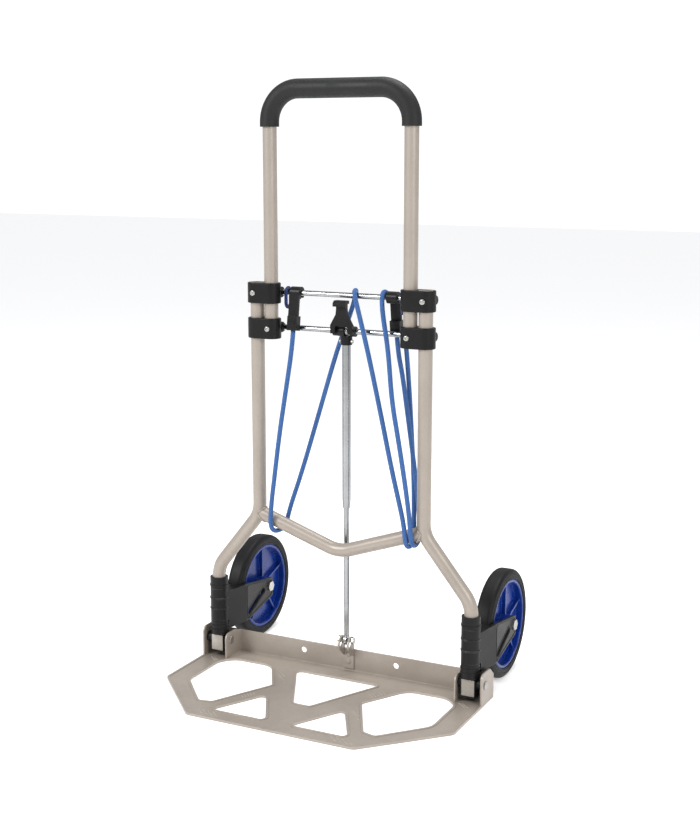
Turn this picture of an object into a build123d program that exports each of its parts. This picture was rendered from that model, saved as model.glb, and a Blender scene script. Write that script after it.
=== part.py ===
from build123d import *
import os
from math import atan2, cos, degrees, pi, radians, sin, tan

# Folding platform cart (folding hand truck): two side tubes on one pair of inward-folding wheels, a
# telescoping U handle, a fold-up toe plate, the rod that lifts it, and one long elastic cord.
# Millimetres. +X is the cart's left-to-right as seen from the front, +Y points to the back, +Z is up.
# The origin is on the floor, midway between the side tubes and in their plane. The cart stands open,
# with the handle pulled out, the toe plate down and the wheels turned out.

# ---- Side tubes and handle ---------------------------------------------------------------------
TUBE_D = 22.0            # every bent frame tube
TUBE_WALL = 1.5
FRAME_X = 146.0          # upper run of a side tube, from the middle
WHEEL_TUBE_X = 227.0     # lower run of a side tube, from the middle
BEND_LOW_Z = 159.0       # corner points of the side tube's double bend
BEND_HIGH_Z = 260.0
TUBE_BEND_R = 50.0
TUBE_GAP = 3.5           # between a side tube and the handle tube beside it
HANDLE_TOP_Z = 937.0     # centreline of the handle's crossing
HANDLE_BEND_R = 50.0
GRIP_D = 30.0            # foam sleeve on the handle
GRIP_END_Z = 880.0
CROSS_TUBE_Z = 262.0     # V-shaped cross tube: its ends and its lowest point
CROSS_TUBE_DIP_Z = 213.0
CROSS_TUBE_BEND_R = 60.0

# ---- Clamps and crossbars ----------------------------------------------------------------------
CLAMP_H = 32.5
CLAMP_WALL = 4.3
UPPER_CLAMP_Z = 622.5    # middle of the clamps on top of the side tubes
LOWER_CLAMP_Z = 566.5    # middle of the clamps at the handle's feet
SLIDE_GAP = 0.3          # between a tube and the clamp that slides on it
BAR_D = 9.0
BAR_Y = 20.0             # the crossbars run just behind the tubes
BAR_BOSS_R = 8.5
BAR_BOSS_X = (112.0, 150.0)
BAR_NUT_D = 15.0
BAR_NUT_H = 5.5
BAR_COLLAR_D = 13.5
BAR_COLLAR_H = 3.0
SCREW_D = 4.0
SCREW_HEAD_D = 9.0
SCREW_HEAD_H = 2.8

# ---- Lifting rod and latch ---------------------------------------------------------------------
ROD_D = 8.5
ROD_Y = 25.0
ROD_TOP_Z = 345.0
ROD_TUBE_D = 14.0
ROD_TUBE_TOP_Z = 558.5
ROD_TUBE_END_Z = 280.0
ROD_TUBE_NOSE_H = 15.0
ROD_TUBE_NOSE_D = 11.5
EYE_R = 8.0
EYE_THICK = 4.0
BOLT_D = 6.0
LATCH_SLEEVE_D = 18.5
LATCH_SLEEVE_END_Z = 544.0
LATCH_HUB_R = 8.5
KNUCKLE_X = 15.0
KNUCKLE_W = 8.0
KNUCKLE_R = 8.2
LEVER_TOP_Z = 615.5
LEVER_THICK = 7.0
SPRING_WIRE_D = 1.5

# ---- Toe plate and its hinge -------------------------------------------------------------------
HINGE_Z = 32.0
HINGE_PIN_D = 8.0
PIN_GAP = 0.05           # running fit of the hinge pins and axles
SHEET = 2.5              # thickness of the pressed plate
PLATE_HALF_W = 252.0
PLATE_SIDE_Y = -126.0    # where the sides turn into the front chamfers
PLATE_FRONT_Y = -238.0
PLATE_FRONT_HALF_W = 142.0
PLATE_CORNER_R = 14.0
FLANGE_Y = 34.0          # front face of the flange that stands up along the back edge
FLANGE_TOP_Z = 39.0
FLANGE_HOLE_D = 10.0
FLANGE_HOLE_X = 84.5
FLANGE_HOLE_Z = 23.0
RIM_W = 4.0
RIM_H = 1.0
EAR_Y = -15.0            # front edge of the hinge ears
INNER_EAR_X = 206.0
INNER_EAR_TOP_Z = 45.5
OUTER_EAR_TOP_Z = 53.0
FOOT_Z = 12.0            # underside of the blocks in the side tubes' feet
FOOT_W = 21.0
FOOT_DEPTH = 20.0
LINER = 1.5
PIN_HEAD_D = 13.0
PIN_HEAD_H = 2.2

# ---- Wheels and their swinging forks -----------------------------------------------------------
WHEEL_D = 178.0
TYRE_W = 28.0
RIM_D = 146.0            # outside of the blue hub, inside of the tyre
AXLE_BACK = 131.0        # axle behind the side tube
AXLE_D = 10.0
HUB_BOSS_D = 30.0
SPOKES = 5
FORK_HALF_W = 22.5
FORK_WALL = 4.8
COLLAR_D = 30.0
COLLAR_TOP_Z = 141.0
COLLAR_END_Z = 42.0
SLEEVE_Z = (66.0, 122.0)
COLLAR_GAP = 0.4
NUT_ACROSS = 16.0
NUT_H = 3.8

# ---- Elastic cord and its hooks ----------------------------------------------------------------
CORD_D = 7.5
HOOK_W = 17.0
HOOK_TILT = 8.0          # degrees that a hook leans from the vertical
LEFT_HOOK_X = -85.0
RIGHT_HOOK_X = 83.0
KEEPER_D = 5.5
KEEPER_X = 101.0

# ---- Worked out from the above -----------------------------------------------------------------
TUBE_R = TUBE_D / 2
HANDLE_X = FRAME_X - TUBE_D - TUBE_GAP
CLAMP_R = TUBE_R + CLAMP_WALL
CLAMP_MID_X = (FRAME_X + HANDLE_X) / 2
HANDLE_END_Z = LOWER_CLAMP_Z - CLAMP_H / 2
TUBE_FOOT_Z = COLLAR_END_Z - 2.0
BOLT_Z = HINGE_Z + ROD_Y
FOLD = pi / 2
ROD_DROP = 2 * ROD_Y     # the rod's bolt swings from level above the hinge to level below it
INNER_EAR = (INNER_EAR_X, INNER_EAR_X + SHEET)
OUTER_EAR = (PLATE_HALF_W - SHEET, PLATE_HALF_W)
SIDES = {"left": -1, "right": 1}

os.makedirs("parts", exist_ok=True)


def save(part, name):
    part.label = name
    export_step(part, f"parts/{name}.step")


def level(x, y, z):
    return Plane(origin=(x, y, z), z_dir=(0, 0, 1))


def across(x, y, z):
    """A sketch plane that looks along +X: its own x is +Y and its own y is +Z."""
    return Plane(origin=(x, y, z), x_dir=(0, 1, 0), z_dir=(1, 0, 0))


def facing(x, y, z):
    """A sketch plane on the front of a piece: its own x is +X, its own y is +Z and it looks to -Y."""
    return Plane(origin=(x, y, z), x_dir=(1, 0, 0), z_dir=(0, -1, 0))


# ---- Bent tubes --------------------------------------------------------------------------------
def bent_tube(points, radius, outer, inner):
    """A round tube along straight runs joined by bends. The first run starts along +Z or is level."""
    with BuildPart() as tube:
        with BuildLine() as path:
            FilletPolyline(*points, radius=radius)
        start = Vector(*points[0])
        along = (Vector(*points[1]) - start).normalized()
        with BuildSketch(Plane(origin=start, z_dir=along)):
            Circle(outer / 2)
            if inner:
                Circle(inner / 2, mode=Mode.SUBTRACT)
        sweep()
    return tube.part


def side_tube_points(side):
    return [
        (side * WHEEL_TUBE_X, 0, TUBE_FOOT_Z),
        (side * WHEEL_TUBE_X, 0, BEND_LOW_Z),
        (side * FRAME_X, 0, BEND_HIGH_Z),
        (side * FRAME_X, 0, UPPER_CLAMP_Z + CLAMP_H / 2),
    ]


def handle_points(end_z):
    return [
        (-HANDLE_X, 0, end_z),
        (-HANDLE_X, 0, HANDLE_TOP_Z),
        (HANDLE_X, 0, HANDLE_TOP_Z),
        (HANDLE_X, 0, end_z),
    ]


bore = TUBE_D - 2 * TUBE_WALL
for word, side in SIDES.items():
    save(bent_tube(side_tube_points(side), TUBE_BEND_R, TUBE_D, bore), f"side_tube_{word}")

save(bent_tube(handle_points(HANDLE_END_Z), HANDLE_BEND_R, TUBE_D, bore), "handle_tube")
save(bent_tube(handle_points(GRIP_END_Z), HANDLE_BEND_R, GRIP_D, TUBE_D), "handle_grip")

# The cross tube's ends are coped to the side tubes that they are welded to.
cross_points = [
    (-FRAME_X + 2, 0, CROSS_TUBE_Z),
    (0, 0, CROSS_TUBE_DIP_Z),
    (FRAME_X - 2, 0, CROSS_TUBE_Z),
]
with BuildPart() as cross_tube:
    add(bent_tube(cross_points, CROSS_TUBE_BEND_R, TUBE_D, bore))
    for side in SIDES.values():
        add(bent_tube(side_tube_points(side), TUBE_BEND_R, TUBE_D, 0), mode=Mode.SUBTRACT)
save(cross_tube.part, "cross_tube")


# ---- Clamps ------------------------------------------------------------------------------------
def clamp(side, z, fixed_x, sliding_x):
    """One moulded clamp: tight on one tube, sliding on the other, with a boss for the crossbar."""
    bottom = z - CLAMP_H / 2
    boss_mid = side * sum(BAR_BOSS_X) / 2
    boss_w = BAR_BOSS_X[1] - BAR_BOSS_X[0]
    with BuildPart() as body:
        with BuildSketch(level(side * CLAMP_MID_X, 0, bottom)):
            SlotCenterToCenter(FRAME_X - HANDLE_X, 2 * CLAMP_R)
        extrude(amount=CLAMP_H)
        rims = body.faces().filter_by(Axis.Z).edges()
        fillet(rims, 1.5)
        with BuildSketch(across(boss_mid, BAR_Y, z)):
            Circle(BAR_BOSS_R)
            with Locations((-BAR_Y / 2, 0)):
                Rectangle(BAR_Y, 2 * BAR_BOSS_R)
        extrude(amount=boss_w / 2, both=True)
        with BuildSketch(level(side * fixed_x, 0, bottom)):
            Circle(TUBE_R)
        extrude(amount=CLAMP_H, mode=Mode.SUBTRACT)
        with BuildSketch(level(side * sliding_x, 0, bottom)):
            Circle(TUBE_R + SLIDE_GAP)
        extrude(amount=CLAMP_H, mode=Mode.SUBTRACT)
        with BuildSketch(across(boss_mid, BAR_Y, z)):
            Circle(BAR_D / 2)
        extrude(amount=boss_w, both=True, mode=Mode.SUBTRACT)
        with BuildSketch(across(side * BAR_BOSS_X[1], BAR_Y, z)):
            Circle(BAR_NUT_D / 2 + 0.4)
        extrude(amount=side * CLAMP_R, mode=Mode.SUBTRACT)
        with BuildSketch(facing(side * fixed_x, 0, z)):
            Circle(SCREW_D / 2)
        extrude(amount=CLAMP_R + 1, mode=Mode.SUBTRACT)
        with BuildSketch(facing(side * fixed_x, -screw_seat(), z)):
            Circle(SCREW_HEAD_D / 2 + 0.5)
        extrude(amount=CLAMP_WALL, mode=Mode.SUBTRACT)
    return body.part


def screw_seat():
    """How far in front of the tube's axis a screw head's flat seat is cut."""
    return CLAMP_R - 1.0


def clamp_screw(x, z):
    """A domed screw whose point bears on the tube."""
    with BuildPart() as screw:
        with BuildSketch(facing(x, -TUBE_R, z)):
            Circle(SCREW_D / 2)
        extrude(amount=screw_seat() - TUBE_R)
        with BuildSketch(facing(x, -screw_seat(), z)):
            Circle(SCREW_HEAD_D / 2)
        extrude(amount=SCREW_HEAD_H)
        rim = screw.faces().sort_by(Axis.Y)[0].edges()
        fillet(rim, SCREW_HEAD_H * 0.7)
        with BuildSketch(facing(x, -screw_seat() - SCREW_HEAD_H, z)):
            Rectangle(SCREW_HEAD_D * 0.45, 0.9)
            Rectangle(0.9, SCREW_HEAD_D * 0.45)
        extrude(amount=-0.9, mode=Mode.SUBTRACT)
    return screw.part


def bar_nut(side, z):
    """A domed nut on the threaded end of a crossbar."""
    with BuildPart() as nut:
        with BuildSketch(across(side * BAR_BOSS_X[1], BAR_Y, z)):
            Circle(BAR_NUT_D / 2)
        extrude(amount=side * BAR_NUT_H)
        rim = nut.faces().sort_by(Axis.X)[-1 if side > 0 else 0].edges()
        fillet(rim, BAR_NUT_H * 0.55)
        with BuildSketch(across(side * BAR_BOSS_X[1], BAR_Y, z)):
            Circle(BAR_D / 2)
        extrude(amount=side * BAR_NUT_H * 0.5, mode=Mode.SUBTRACT)
    return nut.part


def crossbar(z):
    half = BAR_BOSS_X[1] + BAR_NUT_H * 0.5
    with BuildPart() as bar:
        with BuildSketch(across(0, BAR_Y, z)):
            Circle(BAR_D / 2)
        extrude(amount=half, both=True)
    return bar.part


def bar_collar(side, z):
    """The lock ring on the crossbar, against the inner end of the clamp's boss."""
    with BuildPart() as ring:
        with BuildSketch(across(side * BAR_BOSS_X[0], BAR_Y, z)):
            Circle(BAR_COLLAR_D / 2)
            Circle(BAR_D / 2, mode=Mode.SUBTRACT)
        extrude(amount=-side * BAR_COLLAR_H)
        chamfer(ring.edges().filter_by(GeomType.CIRCLE).group_by(SortBy.LENGTH)[-1], 0.5)
    return ring.part


for place, z, fixed_x, sliding_x in (
    ("upper", UPPER_CLAMP_Z, FRAME_X, HANDLE_X),
    ("lower", LOWER_CLAMP_Z, HANDLE_X, FRAME_X),
):
    save(crossbar(z), f"{place}_crossbar")
    for word, side in SIDES.items():
        save(clamp(side, z, fixed_x, sliding_x), f"{place}_clamp_{word}")
        save(clamp_screw(side * fixed_x, z), f"{place}_clamp_screw_{word}")
        save(bar_nut(side, z), f"{place}_bar_nut_{word}")

for word, side in SIDES.items():
    save(bar_collar(side, LOWER_CLAMP_Z), f"lower_bar_collar_{word}")

# ---- Latch on the lower crossbar ---------------------------------------------------------------
LATCH_HUB_X = (-10.5, 1.0)
SPRING_X = (2.0, 10.0)

with BuildPart() as latch_body:
    with BuildSketch(level(0, ROD_Y, LATCH_SLEEVE_END_Z)):
        Circle(LATCH_SLEEVE_D / 2)
    extrude(amount=LOWER_CLAMP_Z - LATCH_SLEEVE_END_Z)
    fillet(latch_body.faces().sort_by(Axis.Z)[0].edges(), 1.2)
    with BuildSketch(across(0, BAR_Y, LOWER_CLAMP_Z)):
        Circle(LATCH_HUB_R + 0.5)
    extrude(amount=SPRING_X[1] + 0.5, mode=Mode.SUBTRACT)
    with BuildSketch(across(LATCH_HUB_X[0], BAR_Y, LOWER_CLAMP_Z)):
        Circle(LATCH_HUB_R)
    extrude(amount=LATCH_HUB_X[1] - LATCH_HUB_X[0])
    with BuildSketch(across(0, BAR_Y, LOWER_CLAMP_Z)):
        Circle(BAR_D / 2)
    extrude(amount=KNUCKLE_X, both=True, mode=Mode.SUBTRACT)
    with BuildSketch(level(0, ROD_Y, LATCH_SLEEVE_END_Z)):
        Circle(ROD_TUBE_D / 2)
    extrude(amount=ROD_TUBE_TOP_Z - LATCH_SLEEVE_END_Z, mode=Mode.SUBTRACT)
    rivet_z = LATCH_SLEEVE_END_Z + 5.5
    with BuildSketch(across(0, ROD_Y, rivet_z)):
        Circle(SCREW_D / 2)
    extrude(amount=LATCH_SLEEVE_D, both=True, mode=Mode.SUBTRACT)
save(latch_body.part, "latch_body")

with BuildPart() as latch_rivet:
    with BuildSketch(across(0, ROD_Y, rivet_z)):
        Circle(SCREW_D / 2)
    extrude(amount=LATCH_SLEEVE_D / 2, both=True)
    for side in SIDES.values():
        with BuildSketch(across(side * LATCH_SLEEVE_D / 2, ROD_Y, rivet_z)):
            Circle(SCREW_D * 0.8)
        extrude(amount=side * 2.0)
    with BuildSketch(level(0, ROD_Y, rivet_z - SCREW_D)):
        Circle(ROD_TUBE_D / 2)
    extrude(amount=2 * SCREW_D, mode=Mode.SUBTRACT)
save(latch_rivet.part, "latch_rivets")

# The lever's outline, seen from the front: wide at its two knuckles, narrow under the finger tab.
lever_front_y = BAR_Y - 14.5
with BuildPart() as latch_lever:
    outer_half = KNUCKLE_X + KNUCKLE_W / 2
    with BuildSketch(facing(0, lever_front_y + LEVER_THICK, LOWER_CLAMP_Z)):
        with BuildLine():
            Polyline(
                (-outer_half, -3), (-outer_half, 10), (-9.5, 27), (-8.5, 36), (-8.5, 49),
                (8.5, 49), (8.5, 36), (9.5, 27), (outer_half, 10), (outer_half, -3), close=True,
            )
        make_face()
        with Locations((0, -2)):
            RectangleRounded(2 * (KNUCKLE_X - KNUCKLE_W / 2), 22, 3, mode=Mode.SUBTRACT)
    extrude(amount=LEVER_THICK)
    with BuildSketch(across(0, lever_front_y, LEVER_TOP_Z)):
        with BuildLine():
            Polyline((LEVER_THICK, 0), (-3, 0), (-7, -4), (-7, -9), (-4.5, -9), (-2, -5), (LEVER_THICK, -5),
                     close=True)
        make_face()
    extrude(amount=11.0, both=True)
    for side in SIDES.values():
        with BuildSketch(across(side * KNUCKLE_X, BAR_Y, LOWER_CLAMP_Z)):
            Circle(KNUCKLE_R)
            with Locations(((lever_front_y - BAR_Y) / 2 + 1, 3)):
                Rectangle(abs(lever_front_y - BAR_Y) - 2, 10.4)
        extrude(amount=KNUCKLE_W / 2, both=True)
    with BuildSketch(across(0, BAR_Y, LOWER_CLAMP_Z)):
        Circle(BAR_D / 2 + PIN_GAP)
    extrude(amount=outer_half + 1, both=True, mode=Mode.SUBTRACT)
save(latch_lever.part, "latch_lever")

spring_r = BAR_D / 2 + SPRING_WIRE_D / 2 + 0.95
spring_turns = 3
spring_pitch = (SPRING_X[1] - SPRING_X[0] - SPRING_WIRE_D) / spring_turns
with BuildPart() as latch_spring:
    with BuildLine() as coil:
        Helix(spring_pitch, spring_pitch * spring_turns, spring_r)
    with BuildSketch(Plane(origin=coil.line @ 0, z_dir=coil.line % 0)):
        Circle(SPRING_WIRE_D / 2)
    sweep(is_frenet=True)
spring = Location(across(SPRING_X[0] + SPRING_WIRE_D / 2, BAR_Y, LOWER_CLAMP_Z)) * latch_spring.part
save(spring, "latch_spring")

# ---- Lifting rod: an outer tube that travels with the handle, and a rod that slides in it -------
with BuildPart() as rod_tube:
    with BuildSketch(level(0, ROD_Y, ROD_TUBE_END_Z + ROD_TUBE_NOSE_H)):
        Circle(ROD_TUBE_D / 2)
    extrude(amount=ROD_TUBE_TOP_Z - ROD_TUBE_END_Z - ROD_TUBE_NOSE_H)
    with BuildSketch(level(0, ROD_Y, ROD_TUBE_END_Z)):
        Circle(ROD_TUBE_NOSE_D / 2)
    with BuildSketch(level(0, ROD_Y, ROD_TUBE_END_Z + ROD_TUBE_NOSE_H)):
        Circle(ROD_TUBE_D / 2)
    loft()
    with BuildSketch(level(0, ROD_Y, ROD_TUBE_END_Z)):
        Circle(ROD_D / 2 + SLIDE_GAP)
    extrude(amount=ROD_TUBE_TOP_Z - ROD_TUBE_END_Z, mode=Mode.SUBTRACT)
save(rod_tube.part, "rod_tube")

with BuildPart() as lift_rod:
    with BuildSketch(level(0, ROD_Y, BOLT_Z + EYE_R - 1)):
        Circle(ROD_D / 2)
    extrude(amount=ROD_TOP_Z - BOLT_Z - EYE_R + 1)
    chamfer(lift_rod.faces().sort_by(Axis.Z)[-1].edges(), 1.0)
    with BuildSketch(across(0, ROD_Y, BOLT_Z)):
        Circle(EYE_R)
    extrude(amount=EYE_THICK / 2, both=True)
    with BuildSketch(across(0, ROD_Y, BOLT_Z)):
        Circle(BOLT_D / 2)
    extrude(amount=EYE_THICK, both=True, mode=Mode.SUBTRACT)
save(lift_rod.part, "lift_rod")

CHEEK_X = 7.0            # inside of the bracket's two cheeks, from the middle
BOLT_GAP = 0.3
cheek_out = CHEEK_X + SHEET
nut_face = cheek_out + BOLT_GAP


def hexagon_prism(x, y, z, amount, across_flats):
    with BuildPart() as prism:
        with BuildSketch(across(x, y, z)):
            RegularPolygon(across_flats / 2, 6, major_radius=False)
        extrude(amount=amount)
    return prism.part


with BuildPart() as rod_bolt:
    with BuildSketch(across(-nut_face, ROD_Y, BOLT_Z)):
        Circle(BOLT_D / 2)
    extrude(amount=2 * nut_face)
    add(hexagon_prism(nut_face, ROD_Y, BOLT_Z, 4.0, 10.0))
save(rod_bolt.part, "rod_bolt")

with BuildPart() as rod_nut:
    add(hexagon_prism(-nut_face, ROD_Y, BOLT_Z, -5.0, 10.0))
save(rod_nut.part, "rod_nut")


def bolt_places(steps=8):
    """Where the rod's bolt lies in the bracket as the plate folds, while the rod itself stays upright."""
    places = []
    for i in range(steps + 1):
        turn = FOLD * i / steps
        y, z = ROD_Y, ROD_Y - ROD_DROP * i / steps
        places.append((y * cos(turn) - z * sin(turn), HINGE_Z + y * sin(turn) + z * cos(turn)))
    return places


def hull_of_circles(places, radius):
    with BuildSketch(mode=Mode.PRIVATE) as hull:
        with Locations(*places):
            Circle(radius)
        make_hull()
    return hull.sketch


# The bracket's base plate lies on the front of the flange and its cheeks stand above the flange. Each
# cheek has a window that the bolt moves in, so the upright rod follows the swing of the plate.
window = hull_of_circles(bolt_places(), BOLT_D / 2 + BOLT_GAP)
base_corner = (FLANGE_Y - 2.0, FLANGE_TOP_Z - 3.0)
cheek = hull_of_circles(bolt_places() + [base_corner], BOLT_D / 2 + BOLT_GAP + 3.5)
with BuildPart() as rod_bracket:
    for side in SIDES.values():
        with BuildSketch(across(side * CHEEK_X, 0, 0)):
            add(cheek)
            add(window, mode=Mode.SUBTRACT)
        extrude(amount=side * SHEET)
    with BuildSketch(level(0, FLANGE_Y, 6.0)):
        Rectangle(2 * cheek_out, SHEET, align=(Align.CENTER, Align.MAX))
    extrude(amount=FLANGE_TOP_Z - 6.0)
    with BuildSketch(level(0, FLANGE_Y, 0)):
        Rectangle(100, 100, align=(Align.CENTER, Align.MIN))
    extrude(amount=100, mode=Mode.SUBTRACT)
save(rod_bracket.part, "rod_bracket")

RIVET_D = 8.0
for word, z in (("upper", 30.0), ("lower", 18.0)):
    with BuildPart() as rivet:
        with BuildSketch(facing(0, FLANGE_Y - SHEET, z)):
            Circle(RIVET_D / 2)
        extrude(amount=2.0)
        fillet(rivet.faces().sort_by(Axis.Y)[0].edges(), 1.6)
    save(rivet.part, f"bracket_rivet_{word}")

# ---- Toe plate ---------------------------------------------------------------------------------
SIDE_OPENING = [(80, -82), (124, -6), (192, -6), (213, -28), (213, -118), (152, -186), (131, -181)]
FRONT_OPENING = [(69, -120), (118, -208), (20, -208)]
MIDDLE_OPENING = [(-76, -6), (76, -6), (14, -131), (-14, -131)]
OPENING_R = 7.0
SWEPT_CORNER_R = 28.0    # the side openings' corners next to the hinges


def plate_face(inset=0.0):
    with BuildSketch(mode=Mode.PRIVATE) as face:
        back = FLANGE_Y + SHEET
        with BuildLine():
            Polyline(
                (-PLATE_HALF_W, back), (-PLATE_HALF_W, PLATE_SIDE_Y),
                (-PLATE_FRONT_HALF_W, PLATE_FRONT_Y), (PLATE_FRONT_HALF_W, PLATE_FRONT_Y),
                (PLATE_HALF_W, PLATE_SIDE_Y), (PLATE_HALF_W, back), close=True,
            )
        make_face()
        fillet(face.vertices().filter_by(lambda v: v.Y < 0), PLATE_CORNER_R)
        if inset:
            offset(amount=-inset, kind=Kind.INTERSECTION)
    return face.sketch


def opening_faces(grow=0.0):
    """The plate's five openings, each grown by the same amount all round."""
    outlines = [MIDDLE_OPENING]
    for side in SIDES.values():
        for outline in (SIDE_OPENING, FRONT_OPENING):
            outlines.append([(side * x, y) for x, y in outline])
    faces = []
    for outline in outlines:
        with BuildSketch(mode=Mode.PRIVATE) as face:
            with BuildLine():
                Polyline(*outline, close=True)
            make_face()
            swept = face.vertices().filter_by(lambda v: abs(v.X) > 160 or (abs(v.X) > 100 and v.Y > -10))
            if swept:
                fillet(swept, SWEPT_CORNER_R)
            sharp = [v for v in face.vertices() if min((v.center() - Vector(*o)).length for o in
                     [(x, y, 0) for x, y in outline]) < 0.01]
            fillet(sharp, OPENING_R)
            if grow:
                offset(amount=grow)
        faces.append(face.sketch)
    return faces


def ear_face(back_y, top_z, shoulder_y):
    with BuildSketch(mode=Mode.PRIVATE) as face:
        with BuildLine():
            Polyline((EAR_Y, 0), (EAR_Y, top_z), (shoulder_y, top_z), (back_y, FLANGE_TOP_Z), (back_y, 0),
                     close=True)
        make_face()
        fillet(face.vertices().filter_by(lambda v: v.Y > top_z - 1), 10.0)
        with Locations((0, HINGE_Z)):
            Circle(HINGE_PIN_D / 2 + PIN_GAP, mode=Mode.SUBTRACT)
    return face.sketch


with BuildPart() as toe_plate:
    with BuildSketch(level(0, 0, 0)):
        add(plate_face())
        for opening in opening_faces():
            add(opening, mode=Mode.SUBTRACT)
    extrude(amount=SHEET)
    with BuildSketch(level(0, 0, SHEET)):
        add(plate_face())
        add(plate_face(RIM_W), mode=Mode.SUBTRACT)
        for opening in opening_faces(RIM_W):
            add(opening)
        for opening in opening_faces():
            add(opening, mode=Mode.SUBTRACT)
    extrude(amount=RIM_H)
    with BuildSketch(facing(0, FLANGE_Y + SHEET, 0)):
        Rectangle(2 * PLATE_HALF_W, FLANGE_TOP_Z, align=(Align.CENTER, Align.MIN))
        with Locations((-FLANGE_HOLE_X, FLANGE_HOLE_Z), (FLANGE_HOLE_X, FLANGE_HOLE_Z)):
            Circle(FLANGE_HOLE_D / 2, mode=Mode.SUBTRACT)
    extrude(amount=SHEET)
    for side in SIDES.values():
        with BuildSketch(across(side * OUTER_EAR[0], 0, 0)):
            add(ear_face(FLANGE_Y + SHEET, OUTER_EAR_TOP_Z, 20.0))
        extrude(amount=side * SHEET)
        with BuildSketch(across(side * INNER_EAR[0], 0, 0)):
            add(ear_face(FLANGE_Y + SHEET, INNER_EAR_TOP_Z, 14.0))
        extrude(amount=side * SHEET)
save(toe_plate.part, "toe_plate")


# ---- Feet of the side tubes: block, bush and hinge pin -----------------------------------------
def foot_block(side):
    x = side * WHEEL_TUBE_X
    with BuildPart() as block:
        with BuildSketch(level(x, 0, FOOT_Z)):
            Rectangle(FOOT_W, FOOT_DEPTH)
        extrude(amount=TUBE_FOOT_Z - FOOT_Z)
        fillet(block.faces().sort_by(Axis.Z)[0].edges().filter_by(Axis.X), 3.0)
        with BuildSketch(level(x, 0, TUBE_FOOT_Z)):
            Circle(bore / 2 - PIN_GAP)
        extrude(amount=COLLAR_D)
        with BuildSketch(across(x, 0, HINGE_Z)):
            Circle(HINGE_PIN_D / 2)
        extrude(amount=TUBE_D, both=True, mode=Mode.SUBTRACT)
    return block.part


def hinge_bush(side):
    """The black U-shaped bush round a foot block, with a spacer ring out to each ear."""
    x = side * WHEEL_TUBE_X
    half = FOOT_W / 2
    with BuildPart() as bush:
        with BuildSketch(level(x, 0, FOOT_Z - LINER)):
            Rectangle(FOOT_W + 2 * LINER, FOOT_DEPTH)
        extrude(amount=TUBE_FOOT_Z - FOOT_Z + LINER)
        rings = (
            (x + side * half, OUTER_EAR[0] - SLIDE_GAP - WHEEL_TUBE_X - half, side),
            (x - side * half, WHEEL_TUBE_X - half - INNER_EAR[1] - SLIDE_GAP, -side),
        )
        for start, length, way in rings:
            with BuildSketch(across(start, 0, HINGE_Z)):
                Circle(HINGE_PIN_D)
            extrude(amount=way * length)
        with BuildSketch(level(x, 0, FOOT_Z)):
            Rectangle(FOOT_W, 2 * FOOT_DEPTH)
        extrude(amount=TUBE_FOOT_Z, mode=Mode.SUBTRACT)
        with BuildSketch(across(x, 0, HINGE_Z)):
            Circle(HINGE_PIN_D / 2)
        extrude(amount=2 * TUBE_D, both=True, mode=Mode.SUBTRACT)
    return bush.part


def hinge_pin(side):
    inner, outer = INNER_EAR[0] - SLIDE_GAP, OUTER_EAR[1] + SLIDE_GAP
    with BuildPart() as pin:
        with BuildSketch(across(side * inner, 0, HINGE_Z)):
            Circle(HINGE_PIN_D / 2)
        extrude(amount=side * (outer - inner))
        for start, way in ((inner, -side), (outer, side)):
            with BuildSketch(across(side * start, 0, HINGE_Z)):
                Circle(PIN_HEAD_D / 2)
            extrude(amount=way * PIN_HEAD_H)
        heads = pin.edges().filter_by(GeomType.CIRCLE).group_by(SortBy.RADIUS)[-1].sort_by(Axis.X)
        fillet([heads[0], heads[-1]], PIN_HEAD_H * 0.6)
    return pin.part


# ---- Swivel collars and wheel forks ------------------------------------------------------------
RIDGE_H = 2.0
RIDGE = 0.9


def collar(side, z_low, z_high, bore_r, ridges):
    """A black sleeve on the side tube, with raised bands round it at the given heights."""
    x = side * WHEEL_TUBE_X
    with BuildPart() as sleeve:
        with BuildSketch(level(x, 0, z_low)):
            Circle(COLLAR_D / 2)
        extrude(amount=z_high - z_low)
        for z in ridges:
            with BuildSketch(level(x, 0, z)):
                Circle(COLLAR_D / 2 + RIDGE)
            extrude(amount=RIDGE_H)
        with BuildSketch(level(x, 0, z_low)):
            Circle(bore_r)
        extrude(amount=z_high - z_low, mode=Mode.SUBTRACT)
    return sleeve.part


FORK_Z = (50.0, 115.0)
FORK_FLARE_Y = 50.0      # where the slanted panel meets the two flat arms
FORK_END_Y = AXLE_BACK + 10.0
FORK_ARM_LOW_Z = 70.0
FORK_ARM_HIGH_Z = 102.0
WHEEL_R = WHEEL_D / 2
FORK_SLOT = ((56.0, 61.0), (112.0, 89.0))
FORK_SLOT_W = 9.5


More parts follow.
